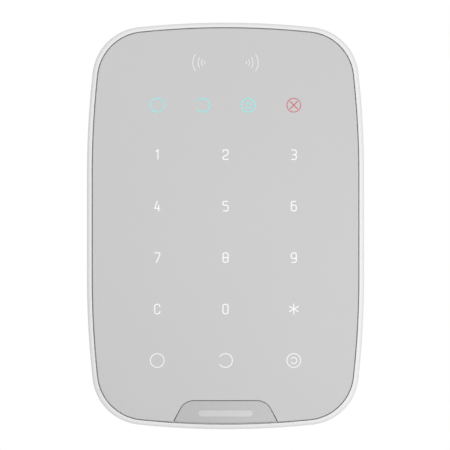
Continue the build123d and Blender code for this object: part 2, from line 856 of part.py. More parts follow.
# ---- rear cover, its buttons and the battery cover ----
def rear_cover():
    """Back skin with the battery opening, hook slots, button holes and bosses."""
    body = slab(case_outline(wall + cover_gap), cover_front, cover_back)
    seat = cover_back - hatch_flange
    lip = (holder_centre_z - flange_half_z - hatch_gap, holder_centre_z + flange_half_z + hatch_gap)
    body -= slab(rounded(flange_half + hatch_gap, *lip, hatch_corner), seat, cover_back + overrun)
    window = rounded(hatch_half, holder_bottom, holder_top, hatch_corner / 2)
    body -= slab(window, cover_front - overrun, cover_back + overrun)
    for x, z in hook_places:
        half = hook_width / 2 + slot_side_gap
        low, high = z - slide_travel - slot_end_gap, z + hook_stem + hook_gap
        body -= block((x - half, x + half), (cover_front - overrun, cover_back + overrun), (low, high))
    for x, z in post_places:
        body -= disc(x, z, cover_head_radius + head_gap, cover_seat, cover_back + overrun)
        body -= disc(x, z, cover_screw_radius + head_gap, cover_front - overrun, cover_back + overrun)
    for x, z in main_screw_places:
        body += disc(x, z, main_boss_radius, main_back, cover_front)
        body -= disc(x, z, small_screw_radius, main_back - overrun, cover_front)
    for x, z in hatch_screw_places:
        boss_end = cover_front - hatch_boss_depth
        body += disc(x, z, hatch_boss_radius, boss_end, seat)
        body -= disc(x, z, cover_screw_radius + running_gap, boss_end + 1, seat + overrun)
    for x, z in ((tamper_x, tamper_z), (button_x, button_z)):
        body -= disc(x, z, stem_radius + stem_gap, cover_front - overrun, cover_back + overrun)
    half = tongue_width / 2 + notch_gap
    notch_top = flange_low + flange_thick + boss_gap
    body -= block((-half, half), (cover_front - overrun, cover_back + overrun), (bottom, notch_top))
    return body + lock_boss()


def lock_boss():
    """Block above the bracket's flange that takes the lock screw."""
    low = flange_low + flange_thick + boss_gap
    high = low + lock_length
    half = lock_radius + boss_wall
    axis = -lock_axis_back
    body = block((-half, half), (axis - half, cover_front), (low, high))
    return body - rod(0, axis, lock_radius + running_gap, low - overrun, high - lock_boss_floor)


def tamper_button():
    collar_back = cover_front - collar_gap
    stem = disc(tamper_x, tamper_z, stem_radius, collar_back, plate_front - tamper_touch)
    return stem + disc(tamper_x, tamper_z, collar_radius, collar_back - collar_thick, collar_back)


def tamper_spring():
    """Round-wire coil between the main board and the button's collar."""
    low = main_back + spring_wire / 2
    high = cover_front - collar_gap - collar_thick - spring_wire / 2
    coil = Helix(pitch=(high - low) / spring_turns, height=high - low, radius=spring_radius)
    wire = sweep(Plane(coil @ 0, z_dir=coil % 0) * Circle(spring_wire / 2), coil, is_frenet=True)
    return Pos(tamper_x, low, tamper_z) * (Rot(-90, 0, 0) * wire)


def power_button():
    collar_back = cover_front - collar_gap
    stem = disc(button_x, button_z, stem_radius, collar_back, cover_back - power_recess)
    return stem + disc(button_x, button_z, collar_radius, collar_back - collar_thick, collar_back)


def battery_cover():
    """Flanged shell that bulges back over the cells through the bracket's opening."""
    seat = cover_back - hatch_flange
    lip = (holder_centre_z - flange_half_z, holder_centre_z + flange_half_z)
    body = slab(rounded(flange_half, *lip, hatch_corner), seat, cover_back)
    bulge = slab(rounded(hatch_half, holder_bottom, holder_top, bulge_corner), cover_back, -hatch_back)
    body += fillet(back_edges(bulge), hatch_round)
    inner_half = hatch_half - hatch_skin
    corner = bulge_corner - hatch_skin
    hollow = rounded(inner_half, holder_bottom + hatch_skin, holder_top - hatch_skin, corner)
    body -= slab(hollow, seat - overrun, -hatch_back - hatch_skin)
    for x, z in hatch_screw_places:
        body -= disc(x, z, cover_screw_radius + head_gap, seat - overrun, cover_back + overrun)
    return body


def rating_label():
    across, high, thick = label_size
    middle = holder_centre_z - flange_half_z - label_drop
    return slab(Pos(0, middle) * RectangleRounded(across, high, 1), cover_back, cover_back + thick)


# ---- fasteners ----
def screws(places, radius, head_radius, head_height, length, seat, towards_wall=1):
    """Pan-head screws along Y with a cross recess; the head is on the seat's wall side."""
    made = []
    for x, z in places:
        shank = sorted((seat, seat - towards_wall * length))
        head = sorted((seat, seat + towards_wall * head_height))
        screw = disc(x, z, radius, *shank) + disc(x, z, head_radius, *head)
        top = seat + towards_wall * head_height
        recess = sorted((top, top - towards_wall * head_height * 0.5))
        for half_x, half_z in (cross_recess, cross_recess[::-1]):
            screw -= block((x - half_x, x + half_x), recess, (z - half_z, z + half_z))
        made.append(screw)
    return made


def lock_screw():
    axis = -lock_axis_back
    screw = rod(0, axis, lock_radius, flange_low, flange_low + flange_thick + lock_length - lock_end_room)
    head = rod(0, axis, lock_head_radius, flange_low - lock_head_height, flange_low)
    screw += fillet(head.edges().sort_by(Axis.Z)[0], lock_head_round)
    low = flange_low - lock_head_height
    recess = (low - overrun, low + lock_recess_depth)
    for half_x, half_y in (lock_recess, lock_recess[::-1]):
        screw -= block((-half_x, half_x), (axis - half_y, axis + half_y), recess)
    return screw


# ---- wall bracket ----
def hook(x, z):
    """L-hook: a stem off the plate and a lip that stands up behind the rear cover."""
    half = hook_width / 2
    lip_back = cover_front - hook_gap
    stem = block((x - half, x + half), (lip_back - hook_thick, plate_front), (z, z + hook_stem))
    lip = block((x - half, x + half), (lip_back - hook_thick, lip_back), (z, z + hook_stem + hook_lip))
    return stem + lip


def mounting_plate():
    """Moulded bracket: frame, four hooks, breakaway pad, tongue and lock flange."""
    top = height / 2 - wall - plate_top_gap
    low = bottom + wall + slide_travel + plate_low_room
    half_h = (top - low) / 2
    mid = (top + low) / 2
    face = soft_outline(
        width / 2 - plate_inset, half_h, plate_shoulder, plate_corner, plate_crest,
        shoulder_drop - plate_inset,
    )
    body = slab(Pos(0, mid) * face, plate_front, 0)
    opening = (
        holder_centre_z - flange_half_z - opening_end_gap,
        holder_centre_z + flange_half_z + slide_travel + opening_end_gap,
    )
    hole = rounded(flange_half + opening_side_gap, *opening, opening_corner)
    body -= slab(hole, plate_front - overrun, overrun)
    for x, z in wall_screw_places:
        body -= disc(x, z, wall_screw_radius, plate_front - overrun, overrun)
        body -= disc(x, z, wall_head_radius, plate_front - overrun, plate_front + wall_head_depth)
    pocket = Pos(0, mid) * soft_outline(
        width / 2 - plate_inset, half_h, plate_shoulder, plate_corner, plate_crest,
        shoulder_drop - plate_inset, rim_band,
    )
    window_half = flange_half + opening_side_gap + rim_band
    window = rounded(window_half, opening[0] - rim_band, opening[1] + rim_band, opening_corner + rim_band)
    body -= slab(core_pockets(pocket - window, top, low), -core_depth, overrun)
    body -= tamper_cuts()
    half = tongue_width / 2
    body += block((-half, half), (plate_front, 0), (flange_low, low + tongue_root))
    body += block((-half, half), (-flange_reach, 0), (flange_low, flange_low + flange_thick))
    hole = (lock_radius + flange_hole_gap, flange_low - overrun, flange_low + flange_thick + overrun)
    body -= rod(0, -lock_axis_back, *hole)
    for x, z in hook_places:
        body += hook(x, z)
    return body


def core_pockets(area, top, low):
    """Hollows in the wall side, broken by ribs and kept clear of screws and pad."""
    for x, z in wall_screw_places:
        area -= Pos(x, z) * Circle(wall_screw_radius + screw_boss)
    pad_width, pad_height = tamper_pad_width + 2 * rim_band, tamper_pad_height + 2 * rim_band
    pad = RectangleRounded(pad_width, pad_height, tamper_corner + rim_band)
    area -= Pos(0, tamper_z) * pad
    area -= Pos(0, low) * Rectangle(tongue_width + 2 * rim_band, 2 * plate_corner)
    for row in range(-5, 6):
        area -= Pos(0, (top + low) / 2 + row * core_pitch) * Rectangle(width, core_rib)
    for side in (-1, 1):
        x = side * (tamper_pad_width / 2 + rim_band + core_pitch / 2)
        area -= Pos(x, 0) * Rectangle(core_rib, height)
    return area


def tamper_cuts():
    """Slits round the breakaway pad, broken by bridges, and the pad's own screw hole."""
    outer = RectangleRounded(tamper_pad_width, tamper_pad_height, tamper_corner)
    inner_width, inner_height = tamper_pad_width - 2 * tamper_cut, tamper_pad_height - 2 * tamper_cut
    slit = outer - RectangleRounded(inner_width, inner_height, tamper_corner - tamper_cut)
    for side in (-1, 1):
        slit -= Pos(side * tamper_pad_width / 4, 0) * Rectangle(tamper_bridge, 2 * tamper_pad_height)
    slit -= Rectangle(2 * tamper_pad_width, tamper_bridge)
    cuts = slab(Pos(0, tamper_z) * slit, plate_front - overrun, overrun)
    return cuts + disc(tamper_hole_x, tamper_z, wall_screw_radius, plate_front - overrun, overrun)


def make_nodes():
    nodes = {
        "front_housing": front_housing(),
        "touch_panel": touch_panel(),
        "badge_plate": badge_plate(),
        "panel_adhesive": panel_adhesive(),
        "key_legends": key_legends(),
        "status_legends": status_legends(),
        "fault_legend": fault_legend(),
        "reader_legends": reader_legends(),
        "diffuser_sheet": diffuser_sheet(),
        "light_mask": light_mask(),
        "touch_board": touch_board(),
        "touch_pads": touch_pads(),
        "key_leds": leds([(x, z) for z in key_rows for x in key_columns]),
        "status_leds": leds(status_places + [(x * wave_tunnel_out, z) for x, z in wave_places]),
        "reader_coil": reader_coil(),
        "ferrite_sheet": ferrite_sheet(),
        "touch_controller": touch_controller(),
        "touch_components": touch_components(),
        "battery_holder": battery_holder(),
        "battery_springs": battery_springs(),
        "battery_plates": battery_plates(),
        "positive_lead": battery_lead(1),
        "negative_lead": battery_lead(-1),
        "battery_socket": battery_socket(),
        "main_board": main_board(),
        "radio_module": radio_module(),
        "radio_antennas": radio_antennas(),
        "controller_chip": controller_chip(),
        "board_components": board_components(),
        "buzzer": buzzer(),
        "ribbon_cable": ribbon_cable(),
        "ribbon_connectors": ribbon_connectors(),
        "tamper_switch": switch_body(tamper_x, tamper_z),
        "power_switch": switch_body(button_x, button_z),
        "rear_cover": rear_cover(),
        "tamper_button": tamper_button(),
        "tamper_spring": tamper_spring(),
        "power_button": power_button(),
        "battery_cover": battery_cover(),
        "rating_label": rating_label(),
        "cover_screws": screws(post_places, cover_screw_radius, cover_head_radius,
                               cover_head_height - head_sink, cover_screw_length, cover_seat),
        "main_board_screws": screws(main_screw_places, small_screw_radius, small_head_radius,
                                    small_head_height, small_screw_length, main_front, -1),
        "battery_cover_screws": screws(hatch_screw_places, cover_screw_radius, cover_head_radius,
                                       hatch_head_height, hatch_screw_length, cover_back),
        "lock_screw": lock_screw(),
        "mounting_plate": mounting_plate(),
    }
    for number, (x, z) in enumerate(cell_places, 1):
        nodes[f"battery_cell_{number}"] = battery_cell(x, z)
    return nodes


def write_nodes(nodes):
    os.makedirs("parts", exist_ok=True)
    for name, made in nodes.items():
        solids = []
        for item in made if isinstance(made, list) else [made]:
            solids += item.solids()
        shape = solids[0] if len(solids) == 1 else Compound(solids)
        shape.label = name
        export_step(shape, f"parts/{name}.step")
        print(f"{name}: {len(solids)}")


write_nodes(make_nodes())
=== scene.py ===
import math

import bmesh
import bpy
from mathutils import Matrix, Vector


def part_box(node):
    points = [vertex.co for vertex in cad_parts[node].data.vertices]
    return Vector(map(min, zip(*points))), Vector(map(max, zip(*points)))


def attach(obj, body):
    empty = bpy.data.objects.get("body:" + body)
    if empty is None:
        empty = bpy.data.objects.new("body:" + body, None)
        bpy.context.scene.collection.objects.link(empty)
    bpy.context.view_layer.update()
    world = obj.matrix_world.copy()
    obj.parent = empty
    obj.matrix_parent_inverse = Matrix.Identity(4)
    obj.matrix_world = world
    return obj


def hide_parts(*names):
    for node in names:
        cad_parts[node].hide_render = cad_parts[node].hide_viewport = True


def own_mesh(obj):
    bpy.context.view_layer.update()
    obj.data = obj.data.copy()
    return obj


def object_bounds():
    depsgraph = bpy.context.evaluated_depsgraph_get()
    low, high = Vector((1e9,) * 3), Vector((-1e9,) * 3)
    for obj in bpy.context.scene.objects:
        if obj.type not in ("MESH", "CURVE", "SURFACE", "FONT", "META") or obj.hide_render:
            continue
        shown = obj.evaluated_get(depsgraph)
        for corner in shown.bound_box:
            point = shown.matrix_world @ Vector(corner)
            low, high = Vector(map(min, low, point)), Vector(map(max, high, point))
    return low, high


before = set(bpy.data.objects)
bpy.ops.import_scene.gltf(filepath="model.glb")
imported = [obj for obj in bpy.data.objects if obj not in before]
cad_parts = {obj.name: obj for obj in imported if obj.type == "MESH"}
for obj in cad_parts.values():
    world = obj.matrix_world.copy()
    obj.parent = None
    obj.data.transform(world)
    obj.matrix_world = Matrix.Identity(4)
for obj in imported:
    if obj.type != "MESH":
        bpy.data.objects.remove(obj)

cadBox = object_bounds()
print("wall keypad: CAD frame loaded,", len(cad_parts), "nodes")

mm = 0.001
noiseLow, noiseHigh = 0.3, 0.7    # where nearly all of a noise texture's values lie
softDetail, middleDetail, fineDetail = 2.0, 3.0, 4.0    # how many finer layers a noise texture has
# a Mix node's sockets by their place, as their names repeat
mixShare, floatA, floatB, colourA, colourB, colourOut = 0, 2, 3, 6, 7, 2


def linear(hexColour):  # sRGB hex to the linear values the shaders want, by the sRGB curve
    parts = [int(hexColour[i:i + 2], 16) / 255 for i in (1, 3, 5)]
    return [p / 12.92 if p <= 0.04045 else ((p + 0.055) / 1.055) ** 2.4 for p in parts] + [1.0]


def addNode(tree, kind, settings=None, sockets=None):  # one node, its settings, its values and links
    node = tree.nodes.new(kind)
    for key, value in (settings or {}).items():
        setattr(node, key, value)
    for key, value in (sockets or {}).items():
        if isinstance(value, bpy.types.NodeSocket):
            tree.links.new(value, node.inputs[key])
        else:
            node.inputs[key].default_value = value
    return node


def newMaterial(name):  # an empty tree with its output, and object coordinates in metres
    material = bpy.data.materials.new(name)
    material.use_nodes = True
    tree = material.node_tree
    tree.nodes.clear()
    place = addNode(tree, "ShaderNodeTexCoord").outputs["Object"]
    return material, tree, place


def finishMaterial(tree, shader):
    addNode(tree, "ShaderNodeOutputMaterial", sockets={"Surface": shader.outputs[0]})


def perMm(size):  # noise scale for a feature this many millimetres across
    return 1.0 / (size * mm)


# camera, light and backdrop
studio = {
    "focalLength": 100.0,    # mm: a long product lens, nearly flat
    "sensorWidth": 36.0,
    "nearClip": 0.01,
    "fieldWidth": 0.18245,   # what the frame spans at the rim
    "rimDepth": -0.0185,     # where the outline is widest
    "aimX": -0.00021,
    "aimZ": 0.00037,
    "leftLevel": 0.58,       # the tent is a little dimmer on the left than on the right
    "rightLevel": 0.62,
    "frontLevel": 1.09,
    "frontFrom": -0.2,       # where the bright front begins and is full, by the heading's y
    "frontFull": -0.8,
    "backLevel": 1.0,        # white behind the keypad
    "backFrom": 0.5,
    "backFull": 0.9,
    "lightsAim": (0, -0.01, 0),
    "softboxes": {           # place, width and height in metres, power in watts, spread in degrees
        "windowSoftbox": {"place": (0.55, -0.75, 0.45), "size": (0.6, 0.9), "power": 1.2, "spread": 180},
        "lowBounceCard": {"place": (0.10, -0.20, -0.165), "size": (0.22, 0.14), "power": 0.043, "spread": 84},
    },
    "floorDrop": 0.10,       # floor below the keypad's foot
    "floorRadius": 0.42,
    "floorSteps": 96,
}
paper = {"colour": "#F6F6F5", "roughness": 0.9, "grain": 2.0, "relief": 0.2, "bumpStrength": 0.05}   # mm


def makeCamera():
    productLens = bpy.data.cameras.new("productLens")
    productLens.lens = studio["focalLength"]
    productLens.sensor_width = studio["sensorWidth"]
    productLens.clip_start = studio["nearClip"]
    camera = bpy.data.objects.new("productCamera", productLens)
    reach = studio["fieldWidth"] * studio["focalLength"] / studio["sensorWidth"]
    camera.location = (studio["aimX"], studio["rimDepth"] - reach, studio["aimZ"])
    camera.rotation_euler = (math.radians(90), 0, 0)
    bpy.context.scene.collection.objects.link(camera)
    bpy.context.scene.camera = camera


def makeTent():  # world light by direction: left to right, a bright front and a white back
    sky = bpy.data.worlds.new("softWhiteTent")
    sky.use_nodes = True
    tree = sky.node_tree
    tree.nodes.clear()
    heading = addNode(tree, "ShaderNodeTexCoord").outputs["Generated"]
    axes = addNode(tree, "ShaderNodeSeparateXYZ", None, {"Vector": heading})
    sides = addNode(tree, "ShaderNodeMapRange", None,
                    {"Value": axes.outputs["X"], "From Min": -1.0, "From Max": 1.0,
                     "To Min": studio["leftLevel"], "To Max": studio["rightLevel"]})
    towardFront = addNode(tree, "ShaderNodeMapRange", {"interpolation_type": "SMOOTHSTEP"},
                          {"Value": axes.outputs["Y"], "From Min": studio["frontFrom"],
                           "From Max": studio["frontFull"]})
    towardBack = addNode(tree, "ShaderNodeMapRange", {"interpolation_type": "SMOOTHSTEP"},
                         {"Value": axes.outputs["Y"], "From Min": studio["backFrom"],
                          "From Max": studio["backFull"]})
    front = addNode(tree, "ShaderNodeMix", {"data_type": "FLOAT"},
                    {mixShare: towardFront.outputs["Result"], floatA: sides.outputs["Result"],
                     floatB: studio["frontLevel"]})
    level = addNode(tree, "ShaderNodeMix", {"data_type": "FLOAT"},
                    {mixShare: towardBack.outputs["Result"], floatA: front.outputs["Result"],
                     floatB: studio["backLevel"]})
    backdrop = addNode(tree, "ShaderNodeBackground", None,
                       {"Color": (1, 1, 1, 1), "Strength": level.outputs["Result"]})
    addNode(tree, "ShaderNodeOutputWorld", None, {"Surface": backdrop.outputs["Background"]})
    bpy.context.scene.world = sky


def makeSoftboxes():
    for name, box in studio["softboxes"].items():
        panel = bpy.data.lights.new(name, "AREA")
        panel.shape = "RECTANGLE"
        panel.size, panel.size_y = box["size"]
        panel.energy = box["power"]
        panel.spread = math.radians(box["spread"])
        lamp = bpy.data.objects.new(name, panel)
        lamp.location = box["place"]
        aim = Vector(studio["lightsAim"]) - Vector(box["place"])
        lamp.rotation_euler = aim.to_track_quat("-Z", "Y").to_euler()
        bpy.context.scene.collection.objects.link(lamp)
    bpy.context.scene.view_settings.view_transform = "Standard"


def makeFloor():
    mesh = bpy.data.meshes.new("paperFloor")
    shape = bmesh.new()
    bmesh.ops.create_circle(shape, cap_ends=True, segments=studio["floorSteps"], radius=studio["floorRadius"])
    low = cadBox[0][2] - studio["floorDrop"]
    bmesh.ops.translate(shape, verts=shape.verts, vec=(0, 0, low))
    shape.to_mesh(mesh)
    shape.free()
    floor = bpy.data.objects.new("paperFloor", mesh)
    bpy.context.scene.collection.objects.link(floor)
    # matt backdrop paper: almost white, with a fine tooth that keeps it from shining
    material, tree, place = newMaterial("mattBackdropPaper")
    grain = addNode(tree, "ShaderNodeTexNoise", None,
                    {"Vector": place, "Scale": perMm(paper["grain"]), "Detail": middleDetail})
    bump = addNode(tree, "ShaderNodeBump", None,
                   {"Height": grain.outputs["Fac"], "Strength": paper["bumpStrength"],
                    "Distance": paper["relief"] * mm})
    sheet = addNode(tree, "ShaderNodeBsdfPrincipled", None,
                    {"Base Color": linear(paper["colour"]), "Roughness": paper["roughness"],
                     "Normal": bump.outputs["Normal"]})
    finishMaterial(tree, sheet)
    mesh.materials.append(material)


makeCamera()
makeTent()
makeSoftboxes()
makeFloor()
print("studio: camera, tent, two softboxes and paper floor")


# finishes: plastics
moulding = {             # what every moulding has unless its own entry says otherwise; sizes in mm
    "cloud": 45.0,       # width of the flow clouds
    "drift": 0.02,       # how much darker a cloud is
    "ior": 1.53,
    "milk": 0.0,         # light scattered inside, and how deep
    "milkDepth": 1.0,
    "flake": 0.0,        # metal flake in the paint
    "clear": 0.0,        # light let through
    "grainRoughness": 0.6,
    "glossSpread": 0.04,
    "bumpStrength": 0.35,
    "gapShadeFrom": 0.55,    # a face turned this far from the front begins to take the painted gap shade
    "gapShadeFull": 0.35,
    "raisedFade": 0.03,  # depth over which a raised mark's tone comes in
}


def mouldedPlastic(name, given):
    # injection moulded: even colour with a faint flow cloud, and a spark-eroded grain that softens the gloss
    spec = {**moulding, **given}
    material, tree, place = newMaterial(name)
    grain = addNode(tree, "ShaderNodeTexNoise", None,
                    {"Vector": place, "Scale": perMm(spec["grain"]), "Detail": fineDetail,
                     "Roughness": spec["grainRoughness"]})
    cloud = addNode(tree, "ShaderNodeTexNoise", None,
                    {"Vector": place, "Scale": perMm(spec["cloud"]), "Detail": softDetail})
    tint = addNode(tree, "ShaderNodeMapRange", None,
                   {"Value": cloud.outputs["Fac"], "From Min": noiseLow, "From Max": noiseHigh})
    dim = [c * (1.0 - spec["drift"]) for c in linear(spec["colour"])[:3]] + [1.0]
    shade = addNode(tree, "ShaderNodeMix", {"data_type": "RGBA"},
                    {mixShare: tint.outputs["Result"], colourA: dim, colourB: linear(spec["colour"])})
    if "edge" in spec:    # painted shade: a side wall is darkened by how square it stands to the front, standing in for the shadow in the gap round the plate
        normals = addNode(tree, "ShaderNodeNewGeometry").outputs["Normal"]
        facing = addNode(tree, "ShaderNodeSeparateXYZ", None, {"Vector": normals})
        square = addNode(tree, "ShaderNodeMath", {"operation": "ABSOLUTE"}, {0: facing.outputs["Y"]})
        gapShadeMask = addNode(tree, "ShaderNodeMapRange", None,
                       {"Value": square.outputs[0], "From Min": spec["gapShadeFrom"],
                        "From Max": spec["gapShadeFull"]})
        shade = addNode(tree, "ShaderNodeMix", {"data_type": "RGBA"},
                        {mixShare: gapShadeMask.outputs["Result"], colourA: shade.outputs[colourOut],
                         colourB: linear(spec["edge"])})
    if "raised" in spec:    # whatever stands nearer the front than the plate's face takes a lighter grey
        depth = addNode(tree, "ShaderNodeSeparateXYZ", None, {"Vector": place})
        proud = addNode(tree, "ShaderNodeMapRange", None,
                        {"Value": depth.outputs["Y"], "From Min": spec["raisedFrom"],
                         "From Max": spec["raisedFrom"] - spec["raisedFade"] * mm})
        shade = addNode(tree, "ShaderNodeMix", {"data_type": "RGBA"},
                        {mixShare: proud.outputs["Result"], colourA: shade.outputs[colourOut],
                         colourB: linear(spec["raised"])})
    gloss = addNode(tree, "ShaderNodeMapRange", None,
                    {"Value": grain.outputs["Fac"], "From Min": noiseLow, "From Max": noiseHigh,
                     "To Min": spec["roughness"] - spec["glossSpread"],
                     "To Max": spec["roughness"] + spec["glossSpread"]})
    bump = addNode(tree, "ShaderNodeBump", None,
                   {"Height": grain.outputs["Fac"], "Strength": spec["bumpStrength"],
                    "Distance": spec["relief"] * mm})
    shell = addNode(tree, "ShaderNodeBsdfPrincipled", None,
                    {"Base Color": shade.outputs[colourOut], "Roughness": gloss.outputs["Result"],
                     "IOR": spec["ior"], "Normal": bump.outputs["Normal"],
                     "Subsurface Weight": spec["milk"], "Subsurface Scale": spec["milkDepth"] * mm,
                     "Metallic": spec["flake"], "Transmission Weight": spec["clear"]})
    finishMaterial(tree, shell)
    return material


# sizes in mm: grain is the texture's pitch, relief its depth
plastics = {
    # satin white ABS of the case: the soft even white of the rim
    "whiteHousingAbs": {"colour": "#E4E4E4", "roughness": 0.42, "grain": 0.5, "relief": 0.02},
    # coarser, slightly warmer ABS where only the wall sees it
    "rearCoverAbs": {"colour": "#DDDDDB", "roughness": 0.56, "grain": 0.7, "relief": 0.05},
    "batteryDoorAbs": {"colour": "#D6D6D3", "roughness": 0.48, "grain": 0.6, "relief": 0.04},
    "bracketAbs": {"colour": "#E3E2DE", "roughness": 0.62, "grain": 0.9, "relief": 0.06, "drift": 0.03},
    # hard-coated polycarbonate touch face: smoother than the rim, with a broad soft sheen; its side walls are
    # darkened with painted shade for the gap round it
    "greyPanelPolycarbonate": {"colour": "#C2C2C2", "roughness": 0.38, "grain": 0.35, "relief": 0.006,
                               "ior": 1.585, "drift": 0.008, "edge": "#3A3A3A"},
    # silver-flake satin paint: the flake turns the light, so the plate shades across its width; its side
    # walls are darkened with painted shade for the gap round it
    "badgeFlakePaint": {"colour": "#B5B5B5", "roughness": 0.34, "grain": 0.35, "relief": 0.004, "drift": 0.01,
                        "flake": 0.7, "edge": "#303030", "raised": "#C4C4C4",
                        "raisedFrom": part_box("badge_plate")[0][1] + 0.08 * mm},
    # dead black, so that one key's light doesn't reach the next
    "lightMaskBlackAbs": {"colour": "#161617", "roughness": 0.55, "grain": 0.6, "relief": 0.04},
    # waxy black, clouded where it flowed round the bays
    "cellHolderPolypropylene": {"colour": "#1D1D1F", "roughness": 0.5, "grain": 0.8, "relief": 0.05,
                                "ior": 1.49, "drift": 0.1},
    # matt and satin blacks of the parts on the boards, each its own resin
    "chipEpoxy": {"colour": "#18181A", "roughness": 0.6, "grain": 0.2, "relief": 0.03, "ior": 1.55},
    "switchNylon": {"colour": "#202124", "roughness": 0.45, "grain": 0.4, "relief": 0.02},
    "buzzerPps": {"colour": "#141416", "roughness": 0.38, "grain": 0.5, "relief": 0.02, "ior": 1.6},
    # slippery grey acetal, faintly waxy
    "buttonAcetal": {"colour": "#74767B", "roughness": 0.35, "grain": 0.4, "relief": 0.01, "ior": 1.48,
                     "milk": 0.1},
    # natural nylon: cream, with light soaking in
    "socketNylon": {"colour": "#E4DDCB", "roughness": 0.42, "grain": 0.4, "relief": 0.02, "milk": 0.2,
                    "drift": 0.04},
    # soft glossy wire insulation
    "redLeadPvc": {"colour": "#B5201B", "roughness": 0.32, "grain": 0.5, "relief": 0.01, "ior": 1.52},
    "blackLeadPvc": {"colour": "#151515", "roughness": 0.32, "grain": 0.5, "relief": 0.01, "ior": 1.52},
    # milky film that evens out the light behind the legends
    "diffuserPetFilm": {"colour": "#EDEDE8", "roughness": 0.5, "grain": 0.3, "relief": 0.01, "ior": 1.57,
                        "milk": 0.3, "clear": 0.15},
    # open black foam and a grainy brown-black ferrite: both without any gloss
    "bondFoamTape": {"colour": "#232325", "roughness": 0.95, "grain": 0.25, "relief": 0.08, "ior": 1.4,
                     "drift": 0.2, "cloud": 3.0},
    "ferritePolymer": {"colour": "#34312F", "roughness": 0.7, "grain": 0.3, "relief": 0.02, "drift": 0.15,
                       "cloud": 6.0},
}
finishes = {name: mouldedPlastic(name, spec) for name, spec in plastics.items()}
print("plastics:", len(plastics))


# finishes: legends lit from behind
inkFilm = {"speck": 2.5, "uneven": 0.1, "roughness": 0.4, "ior": 1.5}   # speck in mm


def backlitInk(name, spec):
    # clear window in the face's print: milky ink with a soft steady glow, a little uneven over the guide
    material, tree, place = newMaterial(name)
    speck = addNode(tree, "ShaderNodeTexNoise", None,
                    {"Vector": place, "Scale": perMm(inkFilm["speck"]), "Detail": softDetail})
    level = addNode(tree, "ShaderNodeMapRange", None,
                    {"Value": speck.outputs["Fac"], "From Min": noiseLow, "From Max": noiseHigh,
                     "To Min": spec["glow"] * (1 - inkFilm["uneven"]),
                     "To Max": spec["glow"] * (1 + inkFilm["uneven"])})
    ink = addNode(tree, "ShaderNodeBsdfPrincipled", None,
                  {"Base Color": linear(spec["colour"]), "Roughness": inkFilm["roughness"],
                   "IOR": inkFilm["ior"], "Emission Color": linear(spec["colour"]),
                   "Emission Strength": level.outputs["Result"]})
    finishMaterial(tree, ink)
    return material


# the glow is only as strong as a lit legend looks in a bright room
inks = {
    "whiteLegendInk": {"colour": "#F0F0F0", "glow": 0.03},
    "waveLegendInk": {"colour": "#E0E0E0", "glow": 0.03},
    "tealLegendInk": {"colour": "#78D3D6", "glow": 0.25},
    "redLegendInk": {"colour": "#C65E69", "glow": 0.08},
}
finishes.update({name: backlitInk(name, spec) for name, spec in inks.items()})


# finishes: metals
plating = {            # sizes in mm
    "patch": 4.0,      # width of the dull patches, and which part of the noise makes them
    "patchFrom": 0.35,
    "patchFull": 0.7,
    "polish": 0.08,    # how far the scratches lower and raise the roughness
    "scuff": 0.1,
    "relief": 0.02,
    "bumpStrength": 0.2,
}


def platedMetal(name, spec):
    # drawn or plated metal: fine scratches along one way stretch the glints, and thin dull patches
    material, tree, place = newMaterial(name)
    stretch = addNode(tree, "ShaderNodeMapping", None, {"Vector": place, "Scale": spec["stretch"]})
    scratch = addNode(tree, "ShaderNodeTexNoise", None,
                      {"Vector": stretch.outputs["Vector"], "Scale": perMm(spec["scratch"]),
                       "Detail": middleDetail})
    patch = addNode(tree, "ShaderNodeTexNoise", None,
                    {"Vector": place, "Scale": perMm(plating["patch"]), "Detail": softDetail})
    dulled = addNode(tree, "ShaderNodeMapRange", None,
                     {"Value": patch.outputs["Fac"], "From Min": plating["patchFrom"],
                      "From Max": plating["patchFull"]})
    shade = addNode(tree, "ShaderNodeMix", {"data_type": "RGBA"},
                    {mixShare: dulled.outputs["Result"], colourA: linear(spec["colour"]),
                     colourB: linear(spec["dull"])})
    gloss = addNode(tree, "ShaderNodeMapRange", None,
                    {"Value": scratch.outputs["Fac"], "From Min": noiseLow, "From Max": noiseHigh,
                     "To Min": spec["roughness"] - plating["polish"],
                     "To Max": spec["roughness"] + plating["scuff"]})
    bump = addNode(tree, "ShaderNodeBump", None,
                   {"Height": scratch.outputs["Fac"], "Strength": plating["bumpStrength"],
                    "Distance": plating["relief"] * mm})
    metal = addNode(tree, "ShaderNodeBsdfPrincipled", None,
                    {"Base Color": shade.outputs[colourOut], "Metallic": 1.0,
                     "Roughness": gloss.outputs["Result"], "Normal": bump.outputs["Normal"]})
    finishMaterial(tree, metal)
    return material


# sizes in mm: scratch is the pitch of the scratches, stretch squeezes them along an axis
metals = {
    # bright zinc, cool and a little patchy
    "zincPlatedScrew": {"colour": "#C3C3C6", "dull": "#A9A9AB", "roughness": 0.30, "scratch": 0.3,
                        "stretch": (1.0, 1.0, 3.0)},
    # warmer nickel, drawn along the wire
    "nickelSpringSteel": {"colour": "#C9C6BF", "dull": "#B0ADA6", "roughness": 0.24, "scratch": 0.3,
                          "stretch": (1.0, 5.0, 1.0)},
    # soft brushed tin of the radio's can
    "tinnedShieldCan": {"colour": "#CBCBCC", "dull": "#AFB0B2", "roughness": 0.34, "scratch": 0.5,
                        "stretch": (5.0, 1.0, 1.0)},
    # dull rosy copper foil
    "bareCopper": {"colour": "#D08B5E", "dull": "#A9643E", "roughness": 0.30, "scratch": 0.4,
                   "stretch": (1.0, 1.0, 1.0)},
    # the brightest metal: a cell's plated can
    "nickelCellCan": {"colour": "#CFCDC8", "dull": "#B9B7B1", "roughness": 0.20, "scratch": 0.25,
                      "stretch": (1.0, 1.0, 6.0)},
}
finishes.update({name: platedMetal(name, spec) for name, spec in metals.items()})
print("inks and metals:", len(inks) + len(metals))


